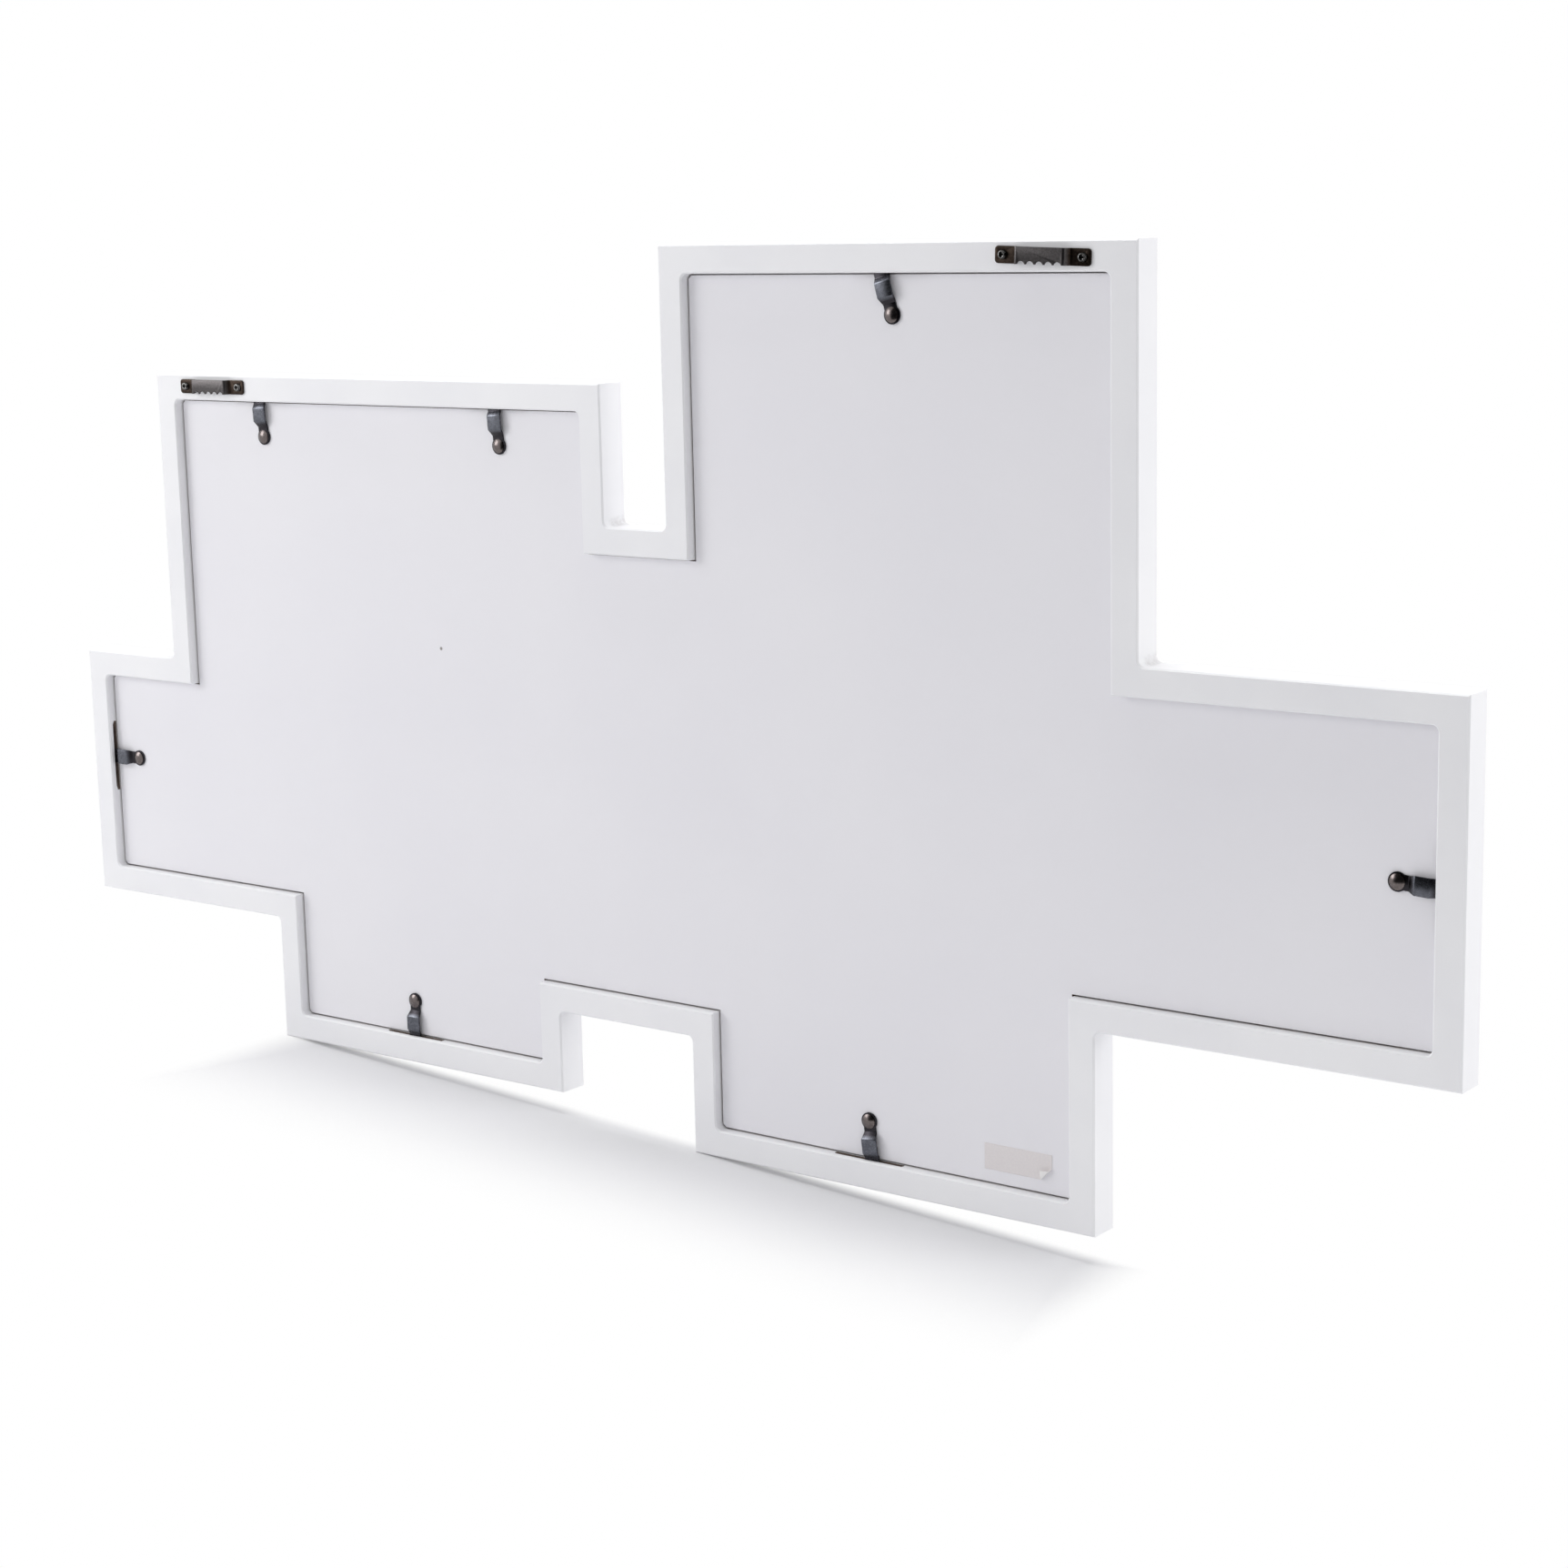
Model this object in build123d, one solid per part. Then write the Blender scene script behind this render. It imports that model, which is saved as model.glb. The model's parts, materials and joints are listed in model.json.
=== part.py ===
from build123d import *
import math
import os

# Collage photo frame: a stepped board of lacquered MDF with nine windows, seen from the front along +Y.
# X runs to the right as seen from the front, Y to the back, Z up. All lengths are in millimetres.

# Outline: widths along the top edge, from the left end to the right end
left_arm_reach = 142.7
upper_left_width = 242.1
top_notch_width = 36.1
upper_right_width = 293.1
right_arm_reach = 66.0

# Outline: widths along the bottom edge
lower_left_inset = 20.7
lower_left_width = 214.4
bottom_notch_width = 79.9
lower_right_width = 187.8

# Outline: heights above the lowest edge
lower_right_bottom = 15.6
bottom_notch_top = 55.5
right_arm_bottom = 78.3
left_arm_bottom = 89.5
right_arm_height = 128.6
left_arm_height = 154.9
top_notch_floor = 287.9
upper_right_top = 352.5
upper_left_top = 413.7

# Frame section
rim_width = 12.7
board_recess = 4.8
lip_thickness = 3.8
cutter_radius = 3.0
edge_chamfer = 0.7
window_chamfer = 1.2
window_bevel_angle = 45

# Windows and what lies behind each
window_border = 20.0
window_bar = 20.0
window_overlap = 4.0
pane_clearance = 0.5
pane_thickness = 2.0
print_thickness = 0.3
card_thickness = 2.1

# Backing board
board_thickness = 3.0
board_clearance = 0.7
board_corner_cut = 1.6

# Turn clips: a bent steel strip on a domed rivet, its tongue in a slot of the rim
clip_inset = 17.4
clip_steel = 0.8
clip_eye_diameter = 8.0
clip_neck_width = 6.2
clip_body_width = 7.8
clip_tongue_width = 6.8
clip_bite = 3.3
clip_rise = 2.1
clip_tongue_lift = 1.1
clip_ramp_start = 5.0
clip_ramp_run = 3.0
clip_crown_run = 6.1
clip_fall_run = 1.9
clip_bend_radius = 0.9
clip_corner_radius = 1.4
clip_seat_gap = 0.05

# Where each clip stands along its wall, as a share of the wall's length from its left or lower end
clip_upper_right_outer_share = 0.756
clip_upper_right_inner_share = 0.223
clip_upper_left_share = 0.4965
clip_right_arm_share = 0.561
clip_left_arm_share = 0.511
clip_lower_right_share = 0.527
clip_lower_left_share = 0.551

# How far each clip is turned from square to its wall, in degrees
clip_upper_right_turn = 4.0
clip_upper_left_turn = 14.6
clip_lower_left_turn = 6.5
clip_left_arm_turn = 2.5

# Slots for the clip tongues, each cut by a disc
slot_disc_radius = 40.0
slot_depth = 4.5
slot_width = 2.3
slot_lift = 0.1

# Rivets of the clips
rivet_head_diameter = 6.6
rivet_head_height = 1.3
rivet_shank_diameter = 3.0
rivet_clearance = 0.05

# Sawtooth hangers
hanger_length = 45.0
hanger_height = 7.0
hanger_steel = 0.9
hanger_raise = 2.8
hanger_middle_length = 22.0
hanger_ramp_run = 1.6
hanger_hole_spacing = 37.6
hanger_bend_radius = 0.5
tooth_count = 5
tooth_pitch = 4.3
tooth_radius = 2.0
tooth_depth = 1.3
hanger_right_inset = 41.2
hanger_right_drop = 5.8
hanger_left_inset = 43.3
hanger_left_drop = 6.3
hanger_left_turn = 2.1

# Hanger screws, pan head with a cross recess
screw_head_diameter = 4.0
screw_top_diameter = 3.2
screw_head_height = 1.2
screw_shank_diameter = 2.2
screw_length = 9.0
screw_clearance = 0.05
recess_length = 2.2
recess_width = 0.9
recess_depth = 0.7

# Bare paper label on the backing board
label_width = 34.2
label_height = 11.7
label_thickness = 0.12
label_side_gap = 10.8
label_bottom_gap = 6.4

# Cuts run this far past the faces that they open
overrun = 1.0

# Depth planes, with the whole object centred about Y = 0
stack_thickness = pane_thickness + print_thickness + card_thickness
frame_thickness = lip_thickness + stack_thickness + board_thickness + board_recess
hanger_proud = hanger_raise + hanger_steel
y_front = -(frame_thickness + hanger_proud) / 2
y_pane = y_front + lip_thickness
y_print = y_pane + pane_thickness
y_card = y_print + print_thickness
y_board = y_pane + stack_thickness
y_board_back = y_board + board_thickness
y_back = y_front + frame_thickness

# Outline lines from left to right
overall_width = left_arm_reach + upper_left_width + top_notch_width + upper_right_width + right_arm_reach
x_left = -overall_width / 2
x_upper_left = x_left + left_arm_reach
x_notch_left = x_upper_left + upper_left_width
x_notch_right = x_notch_left + top_notch_width
x_upper_right = x_notch_right + upper_right_width
x_right = x_upper_right + right_arm_reach
x_lower_left = x_upper_left + lower_left_inset
x_foot_left = x_lower_left + lower_left_width
x_foot_right = x_foot_left + bottom_notch_width
x_lower_right = x_foot_right + lower_right_width

# Outline lines from bottom to top
z_right_arm_top = right_arm_bottom + right_arm_height
z_left_arm_top = left_arm_bottom + left_arm_height

# The outline's corners anticlockwise from the lowest left one; the second value says if it turns inwards
corners = [
    ((x_lower_left, 0), False),
    ((x_foot_left, 0), False),
    ((x_foot_left, bottom_notch_top), True),
    ((x_foot_right, bottom_notch_top), True),
    ((x_foot_right, lower_right_bottom), False),
    ((x_lower_right, lower_right_bottom), False),
    ((x_lower_right, right_arm_bottom), True),
    ((x_right, right_arm_bottom), False),
    ((x_right, z_right_arm_top), False),
    ((x_upper_right, z_right_arm_top), True),
    ((x_upper_right, upper_right_top), False),
    ((x_notch_right, upper_right_top), False),
    ((x_notch_right, top_notch_floor), True),
    ((x_notch_left, top_notch_floor), True),
    ((x_notch_left, upper_left_top), False),
    ((x_upper_left, upper_left_top), False),
    ((x_upper_left, z_left_arm_top), True),
    ((x_left, z_left_arm_top), False),
    ((x_left, left_arm_bottom), False),
    ((x_lower_left, left_arm_bottom), True),
]


def inset_point(index, inset):
    """A corner of the outline moved inwards by the inset, square to both its edges."""
    (x, z), _ = corners[index]
    before, _ = corners[index - 1]
    after, _ = corners[(index + 1) % len(corners)]
    moved_x, moved_z = x, z
    for start, end in ((before, (x, z)), ((x, z), after)):
        run_x = end[0] - start[0]
        run_z = end[1] - start[1]
        moved_x -= math.copysign(inset, run_z) if run_z else 0
        moved_z += math.copysign(inset, run_x) if run_x else 0
    return moved_x, moved_z


def stepped_face(inset, turns_in, finish, size):
    """The stepped outline moved inwards, with its inward or its outward corners cut or rounded."""
    points = [inset_point(index, inset) for index in range(len(corners))]
    face = make_face(Polyline(*points, close=True))
    chosen = [point for point, corner in zip(points, corners) if corner[1] == turns_in]
    picked = [v for v in face.vertices() if any(math.dist((v.X, v.Y), p) < size / 2 for p in chosen)]
    return finish(picked, size)


def slab(face, y_from, y_to):
    """A flat piece with the given outline, between two depth planes."""
    return extrude(Plane.XZ.offset(-y_to) * face, amount=y_to - y_from)


def panel(window, growth):
    """A window's outline grown by an amount on every side."""
    x_low, x_high, z_low, z_high = window
    centre = Pos((x_low + x_high) / 2, (z_low + z_high) / 2)
    return centre * Rectangle(x_high - x_low + 2 * growth, z_high - z_low + 2 * growth)


def split_in_two(x_low, x_high, z_low, z_high):
    """Two windows of one width side by side, with a bar between them."""
    half = (x_high - x_low - window_bar) / 2
    return (x_low, x_low + half, z_low, z_high), (x_high - half, x_high, z_low, z_high)


def window_table():
    """Each window's left, right, bottom and top, set in from the outline by the border."""
    border = window_border
    row_right = z_right_arm_top - border
    row_left = z_left_arm_top - border
    upper_left = split_in_two(x_upper_left + border, x_notch_left - border,
                              row_left + window_bar, upper_left_top - border)
    upper_right = split_in_two(x_notch_right + border, x_upper_right - border,
                               row_right + window_bar, upper_right_top - border)
    return {
        "left_arm": (x_left + border, x_lower_left + border - window_bar,
                     left_arm_bottom + border, row_left),
        "lower_left": (x_lower_left + border, x_foot_left - border, border, row_left),
        "upper_left_outer": upper_left[0],
        "upper_left_inner": upper_left[1],
        "centre": (x_foot_left - border + window_bar, x_foot_right + border - window_bar,
                   bottom_notch_top + border, row_right),
        "upper_right_inner": upper_right[0],
        "upper_right_outer": upper_right[1],
        "lower_right": (x_foot_right + border, x_lower_right - border,
                        lower_right_bottom + border, row_right),
        "right_arm": (x_lower_right - border + window_bar, x_right - border,
                      right_arm_bottom + border, row_right),
    }


def clip_table():
    """Each clip's pivot and the direction of its tongue, in degrees from +X towards +Z."""
    top_right = upper_right_top - rim_width - clip_inset
    top_left = upper_left_top - rim_width - clip_inset
    low_right = lower_right_bottom + rim_width + clip_inset
    low_left = rim_width + clip_inset
    side = rim_width + clip_inset
    outer_x = x_notch_right + clip_upper_right_outer_share * upper_right_width
    inner_x = x_notch_right + clip_upper_right_inner_share * upper_right_width
    upper_left_x = x_upper_left + clip_upper_left_share * upper_left_width
    right_arm_z = right_arm_bottom + clip_right_arm_share * right_arm_height
    left_arm_z = left_arm_bottom + clip_left_arm_share * left_arm_height
    lower_right_x = x_foot_right + clip_lower_right_share * lower_right_width
    lower_left_x = x_lower_left + clip_lower_left_share * lower_left_width
    return {
        "upper_right_outer": (outer_x, top_right, 90, -clip_upper_right_turn),
        "upper_right_inner": (inner_x, top_right, 90, -clip_upper_right_turn),
        "upper_left": (upper_left_x, top_left, 90, -clip_upper_left_turn),
        "right_arm": (x_right - side, right_arm_z, 0, 0),
        "left_arm": (x_left + side, left_arm_z, 180, clip_left_arm_turn),
        "lower_right": (lower_right_x, low_right, 270, 0),
        "lower_left": (lower_left_x, low_left, 270, -clip_lower_left_turn),
    }


def hanger_table():
    """Each hanger's centre and how far its left end, seen from the front, hangs down in degrees."""
    return {
        "right": (x_upper_right - hanger_right_inset, upper_right_top - hanger_right_drop, 0),
        "left": (x_upper_left + hanger_left_inset, upper_left_top - hanger_left_drop, hanger_left_turn),
    }


def on_back(y, x, z, turn):
    """Places a piece made on the ground plane, height up, onto the back face at y, its far side downwards."""
    face = Plane(origin=(x, y, z), x_dir=(1, 0, 0), z_dir=(0, 1, 0))
    return face.location * Rot(0, 0, -turn)


def tongue_slot(x, z, direction):
    """The disc-shaped cut in the rim wall in front of a clip."""
    centre_reach = clip_inset + slot_depth - slot_disc_radius
    centre_x = x + centre_reach * math.cos(math.radians(direction))
    centre_z = z + centre_reach * math.sin(math.radians(direction))
    low = y_board_back + slot_lift
    return slab(Pos(centre_x, centre_z) * Circle(slot_disc_radius), low, low + slot_width)


def screw_places():
    """The four hanger screws' centres on the rim."""
    places = []
    for x, z, turn in hanger_table().values():
        for side in (-1, 1):
            reach = side * hanger_hole_spacing / 2
            across = reach * math.cos(math.radians(turn))
            up = reach * math.sin(math.radians(turn))
            places.append((x + across, z + up))
    return places


def make_frame(windows):
    """The stepped frame, milled from one board: rim, board rebate, pane pockets, windows and clip slots."""
    frame = slab(stepped_face(0, True, fillet, cutter_radius), y_front, y_back)
    frame = frame - slab(stepped_face(rim_width, False, fillet, cutter_radius), y_board, y_back + overrun)
    faces = frame.faces().sort_by(Axis.Y)
    frame = chamfer(faces[0].edges() + faces[-1].edges(), edge_chamfer)
    for window in windows.values():
        frame = frame - slab(panel(window, window_overlap), y_pane, y_board + overrun)
        opening = slab(panel(window, 0), y_front - overrun, y_pane + overrun)
        bevel = Plane.XZ.offset(-(y_front + window_chamfer)) * panel(window, 0)
        flare = extrude(bevel, amount=window_chamfer + overrun, taper=-window_bevel_angle)
        frame = frame - opening - flare
    for x, z, direction, _ in clip_table().values():
        frame = frame - tongue_slot(x, z, direction)
    for x, z in screw_places():
        hole = Pos(x, z) * Circle(screw_shank_diameter / 2 + screw_clearance)
        frame = frame - slab(hole, y_back - screw_length, y_back + overrun)
    return frame


def make_board():
    """The backing board, its corners clipped to clear the rebate's round ones, with a hole for each rivet."""
    face = stepped_face(rim_width + board_clearance, False, chamfer, board_corner_cut)
    board = slab(face, y_board, y_board_back)
    for x, z, _, _ in clip_table().values():
        hole = Pos(x, z) * Circle(rivet_shank_diameter / 2 + rivet_clearance)
        board = board - slab(hole, y_board - overrun, y_board_back + overrun)
    return board


def bent_strip(points, thickness, width, radius):
    """A strip of sheet metal that follows a line of (run, height) points along its underside."""
    slopes = [math.atan2(b[1] - a[1], b[0] - a[0]) for a, b in zip(points, points[1:])]
    upper = []
    under_radii = []
    upper_radii = []
    for index, (run, height) in enumerate(points):
        before = slopes[max(index - 1, 0)]
        after = slopes[min(index, len(slopes) - 1)]
        middle = (before + after) / 2
        reach = thickness / math.cos((after - before) / 2)
        upper.append((run - reach * math.sin(middle), height + reach * math.cos(middle)))
        if 0 < index < len(points) - 1:
            under_radii.append(radius + thickness if after > before else radius)
            upper_radii.append(radius if after > before else radius + thickness)
    section = make_face([
        FilletPolyline(*points, radius=under_radii),
        FilletPolyline(*upper, radius=upper_radii),
        Line(points[0], upper[0]),
        Line(points[-1], upper[-1]),
    ])
    return extrude(Plane.XZ.offset(-width / 2) * section, amount=width)


def clip_plan():
    """The clip's outline seen square to the board: eye, neck, body and rounded tongue."""
    body_start = clip_ramp_start + clip_ramp_run
    body_end = body_start + clip_crown_run
    tip = clip_inset + clip_bite
    half = [(0, clip_neck_width / 2), (clip_ramp_start, clip_neck_width / 2),
            (body_start, clip_body_width / 2), (body_end, clip_body_width / 2), (tip, clip_tongue_width / 2)]
    mirrored = [(x, -y) for x, y in reversed(half)]
    strap = make_face(Polyline(*half, *mirrored, close=True))
    tip_corners = [v for v in strap.vertices() if v.X > tip - clip_corner_radius]
    return fillet(tip_corners, clip_corner_radius) + Circle(clip_eye_diameter / 2)


def make_clip():
    """A turn clip about its pivot on the ground plane, with its tongue along +X."""
    base = clip_seat_gap
    crown_start = clip_ramp_start + clip_ramp_run
    crown_end = crown_start + clip_crown_run
    tongue_start = crown_end + clip_fall_run
    line = [(-clip_eye_diameter, base), (clip_ramp_start, base), (crown_start, base + clip_rise),
            (crown_end, base + clip_rise), (tongue_start, clip_tongue_lift),
            (clip_inset + clip_bite + overrun, clip_tongue_lift)]
    strip = bent_strip(line, clip_steel, clip_eye_diameter + overrun, clip_bend_radius)
    plan = extrude(clip_plan(), amount=clip_rise + clip_steel + overrun)
    hole = Cylinder(rivet_shank_diameter / 2 + rivet_clearance, 2 * (clip_steel + overrun))
    return strip & plan - hole


def make_rivet():
    """A domed rivet about its own axis, through the clip and the board, flush with the board's front."""
    seat = clip_seat_gap + clip_steel + rivet_clearance
    head = rivet_head_diameter / 2
    shank = rivet_shank_diameter / 2
    top = seat + rivet_head_height
    sphere = (head ** 2 + rivet_head_height ** 2) / (2 * rivet_head_height)
    half_angle = math.asin(head / sphere) / 2
    middle = (sphere * math.sin(half_angle), top - sphere * (1 - math.cos(half_angle)))
    outline = [
        Line((0, -board_thickness), (shank, -board_thickness)),
        Line((shank, -board_thickness), (shank, seat)),
        Line((shank, seat), (head, seat)),
        ThreePointArc((head, seat), middle, (0, top)),
        Line((0, top), (0, -board_thickness)),
    ]
    return revolve(Plane.XZ * make_face(outline), Axis.Z)


def make_hanger():
    """A sawtooth hanger on the ground plane: flat ends with holes, a raised middle, teeth on its far edge."""
    half = hanger_length / 2
    crown = hanger_middle_length / 2
    ramp = crown + hanger_ramp_run
    line = [(-half, 0), (-ramp, 0), (-crown, hanger_raise), (crown, hanger_raise), (ramp, 0), (half, 0)]
    plate = bent_strip(line, hanger_steel, hanger_height, hanger_bend_radius)
    for number in range(tooth_count):
        x = (number - (tooth_count - 1) / 2) * tooth_pitch
        y = hanger_height / 2 + tooth_radius - tooth_depth
        plate = plate - Pos(x, y, hanger_raise) * Cylinder(tooth_radius, 2 * hanger_proud)
    for side in (-1, 1):
        hole = Cylinder(screw_shank_diameter / 2 + screw_clearance, 2 * hanger_proud)
        plate = plate - Pos(side * hanger_hole_spacing / 2, 0) * hole
    return plate


def make_screw():
    """A pan-head screw about its own axis, its head on the hanger's flat end."""
    head = screw_head_diameter / 2
    shank = screw_shank_diameter / 2
    seat = hanger_steel
    top = seat + screw_head_height
    low = screw_clearance - screw_length
    outline = Polyline((0, low), (shank, low), (shank, seat), (head, seat),
                       (screw_top_diameter / 2, top), (0, top), close=True)
    screw = revolve(Plane.XZ * make_face(outline), Axis.Z)
    for turn in (0, 90):
        slit = Box(recess_length, recess_width, 2 * recess_depth)
        screw = screw - Pos(0, 0, top) * Rot(0, 0, turn) * slit
    return screw


def make_label():
    """The bare paper label, flat on the board."""
    x = x_lower_left + rim_width + label_side_gap + label_width / 2
    z = rim_width + label_bottom_gap + label_height / 2
    face = Pos(x, z) * Rectangle(label_width, label_height)
    return slab(face, y_board_back, y_board_back + label_thickness)


def save(shape, name):
    """Writes one node's STEP file."""
    shape.label = name
    export_step(shape, f"parts/{name}.step")


def main():
    os.makedirs("parts", exist_ok=True)
    windows = window_table()
    save(make_frame(windows), "frame")
    save(make_board(), "backing_board")
    save(make_label(), "label")
    for name, window in windows.items():
        sheet = panel(window, window_overlap - pane_clearance)
        save(slab(sheet, y_pane, y_print), f"pane_{name}")
        save(slab(sheet, y_print, y_card), f"print_{name}")
        save(slab(sheet, y_card, y_board), f"card_{name}")
    clip = make_clip()
    rivet = make_rivet()
    rivets = []
    for name, (x, z, direction, turn) in clip_table().items():
        save(on_back(y_board_back, x, z, direction + turn) * clip, f"turn_clip_{name}")
        rivets.append(on_back(y_board_back, x, z, 0) * rivet)
    save(Compound(children=rivets), "clip_rivets")
    hanger = make_hanger()
    for name, (x, z, turn) in hanger_table().items():
        save(on_back(y_back, x, z, turn) * hanger, f"sawtooth_hanger_{name}")
    screw = make_screw()
    screws = [on_back(y_back, x, z, 0) * screw for x, z in screw_places()]
    save(Compound(children=screws), "hanger_screws")


main()
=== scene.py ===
import json
import math

import bmesh
import bpy
from mathutils import Euler, Matrix, Vector


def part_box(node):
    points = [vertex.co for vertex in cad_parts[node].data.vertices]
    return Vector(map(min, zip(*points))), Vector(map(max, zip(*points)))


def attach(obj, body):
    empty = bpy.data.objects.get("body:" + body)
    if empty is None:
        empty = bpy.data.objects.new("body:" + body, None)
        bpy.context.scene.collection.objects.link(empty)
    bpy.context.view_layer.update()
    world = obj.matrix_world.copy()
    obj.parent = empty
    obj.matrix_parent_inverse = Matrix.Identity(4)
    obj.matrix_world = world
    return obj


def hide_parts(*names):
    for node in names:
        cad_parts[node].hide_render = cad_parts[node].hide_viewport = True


# Collage photo frame, seen from behind: satin white lacquer, off-white backing board, dark steel hardware.
# Everything is in metres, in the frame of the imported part: X right from the front, Y to the back, Z up.
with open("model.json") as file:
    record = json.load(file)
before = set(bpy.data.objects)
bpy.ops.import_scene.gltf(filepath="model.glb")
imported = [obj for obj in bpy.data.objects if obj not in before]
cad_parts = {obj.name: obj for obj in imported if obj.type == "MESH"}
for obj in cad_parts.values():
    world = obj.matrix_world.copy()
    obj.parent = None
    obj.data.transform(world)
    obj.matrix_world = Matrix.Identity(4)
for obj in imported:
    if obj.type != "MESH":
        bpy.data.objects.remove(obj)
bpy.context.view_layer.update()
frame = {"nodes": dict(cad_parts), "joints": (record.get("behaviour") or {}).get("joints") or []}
nodes = frame["nodes"]
joints = frame["joints"]

MM = 0.001
MERGE = 0.001 * MM

# Levels along Y: the back of the board, where the clips turn, and the back of the rim
BOARD_BACK = Vector(joints[0]["pos_m"]).y
RIM_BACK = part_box("frame")[1].y

# Sockets of a colour mix node
FACTOR, FIRST, SECOND, MIXED = 0, 6, 7, 2

# Eased edges, in millimetres, and the steps that round them
STRIP_EDGE = 0.12
HANGER_CORNER = 1.5
BOARD_EDGE = 0.35
SCREW_EDGE = 0.1
EDGE_STEPS = 2
CORNER_STEPS = 5

# What counts as a corner, and as one flat face
SHARP_ANGLE = math.radians(40)
FLAT_ANGLE = math.radians(2)

# Shares of Y in a direction: an edge along Y, a face turned to the front, and the board's faced sides
ALONG_Y = 0.99
TO_FRONT = -0.5
FACED = 0.9

# A hanger's end edges lie further than this from its middle, in millimetres
HANGER_END = 21.5

# Screws, in millimetres: a recess face lies below the rim of the head and is steep, or level at the bottom
SCREW_HEAD = 1.2
RECESS_RIM = 0.12
RECESS_STEEP = 0.3
RECESS_LEVEL = 0.99

# Rivets, in millimetres
RIVET_HEAD = 6.6
RIVET_SEAT = 0.9
RIVET_RIM = 0.35
RIVET_SHANK = 3.0
RIVET_STEPS = 48
RIVET_DOME_STEPS = 9

# Slots of the clips' tongues, in millimetres: discs milled into the rim through its lacquer.
# The reach is the depth of a disc from its clip's pivot; the levels are above the back of the board.
SLOT_RADIUS = 40.0
SLOT_REACH = 21.9
SLOT_MIDDLE = 0.84
SLOT_HALF = 0.76
SLOT_BLUR = 0.1

# Heights in millimetres, above the rim and above the board, through which a hanger goes from its dark bronze
# to a painted greyer sheen, and a clip from a painted near-black shade to its own plating
HANGER_SHEEN_CROWN = (1.4, 3.2)
CLIP_SHADE_CROWN = (1.8, 2.9)

# Label, in millimetres: its corner near the frame's lower end has come unstuck and curls back
LABEL_THICKNESS = 0.1
LABEL_CELL = 0.32
CURL_REACH = 4.8
CURL_RADIUS = 0.9
CURL_TURN = math.radians(165)

# Prints, in millimetres
PRINT_MARGIN = 9.0

# A fleck on the board, as (x, z), with its radius and soft edge, in millimetres
BOARD_FLECK = (139.2, 224.2)
FLECK_RADIUS = 0.5
FLECK_EDGE = 0.6

# Two inner corners of the outline that hold some dust and painted shade, as (x, z), with its reach and soft
# edge, and the levels along Y through which it goes from nothing to full, in millimetres
DUST_AND_SHADE_CORNERS = [(30.9, 287.9), (-247.3, 244.4)]
DUST_AND_SHADE_RADIUS = 1.5
DUST_AND_SHADE_EDGE = 5.0
DUST_AND_SHADE_LEVELS = (4.5, 0.0)

# Values of the crumbly pattern through which that dust and painted shade comes up, and the most that it
# covers
DUST_AND_SHADE_CRUMBS = (0.2, 0.55)
DUST_AND_SHADE_MOST = 0.28

# Sizes of the patterns in the finishes, in millimetres; fibre, pulp and the mottling of steel are drawn
# coarser than they are, so that they show
ORANGE_PEEL = 2.4
LACQUER_CLOUD = 60
FIBRE_CRUMB = 1.8
BOARD_PULP = 0.9
BOARD_CLOUD = 120
GLASS_WAVE = 80

# Floor, in metres: it meets the lowest block's inner corner and the other low block's outer corner, as the
# frame stands tipped on these two; its shade is kept from behind the blocks to a hand's breadth in front
FLOOR_REACH = 12.0
FIRST_FOOT = (-0.0122, 0.0)
SECOND_FOOT = (0.2555, 0.0156)
SHADE_MIDDLE = 0.006
SHADE_SIDES = (0.225, 0.258)
SHADE_BEHIND = (-0.006, 0.006)
SHADE_FRONT = (0.012, 0.122)

# Light of the white surroundings, as a share of the white that is seen
STUDIO_LIGHT = 0.57

# Camera, in metres, millimetres and degrees
CAMERA_PLACE = (-0.85009, 1.04464, 0.42936)
CAMERA_TURN = (79.1002, 1.2365, -143.271)
LENS = 68.972
SENSOR = 36
NEAREST = 0.01


# Colours and nodes

def linear(code):
    """An sRGB hex colour as linear red, green, blue and full alpha."""
    parts = [int(code[i:i + 2], 16) / 255 for i in (1, 3, 5)]
    return tuple(p / 12.92 if p <= 0.04045 else ((p + 0.055) / 1.055) ** 2.4 for p in parts) + (1.0,)


def add(tree, kind, inputs=None, **settings):
    """Adds a node, sets its properties, and fills its inputs with values or with links from other nodes."""
    node = tree.nodes.new(kind)
    for name, value in settings.items():
        setattr(node, name, value)
    for name, value in (inputs or {}).items():
        if isinstance(value, bpy.types.NodeSocket):
            tree.links.new(value, node.inputs[name])
        else:
            node.inputs[name].default_value = value
    return node


def new_material(name):
    """A node material; returns it with its tree and its shader."""
    material = bpy.data.materials.new(name)
    material.use_nodes = True
    tree = material.node_tree
    return material, tree, tree.nodes["Principled BSDF"]


def place_of(tree):
    """Object coordinates, which are metres in the part's own frame."""
    return add(tree, "ShaderNodeTexCoord").outputs["Object"]


def per_mm(size):
    """The scale that gives a pattern one feature about every so many millimetres."""
    return 1 / (size * MM)


def tones(tree, pattern, dark, light, low=0.3, high=0.7):
    """A colour that goes from dark to light as a noise pattern rises from low to high."""
    ramp = add(tree, "ShaderNodeValToRGB", {"Fac": pattern.outputs["Fac"]})
    for stop, position, code in zip(ramp.color_ramp.elements, (low, high), (dark, light)):
        stop.position = position
        stop.color = linear(code)
    return ramp.outputs["Color"]


def relief(tree, shader, pattern, strength, depth):
    """Gives a surface the fine relief of a noise pattern, to a depth in millimetres."""
    bump = add(tree, "ShaderNodeBump", {"Height": pattern.outputs["Fac"], "Strength": strength,
                                        "Distance": depth * MM})
    tree.links.new(bump.outputs["Normal"], shader.inputs["Normal"])


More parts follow.
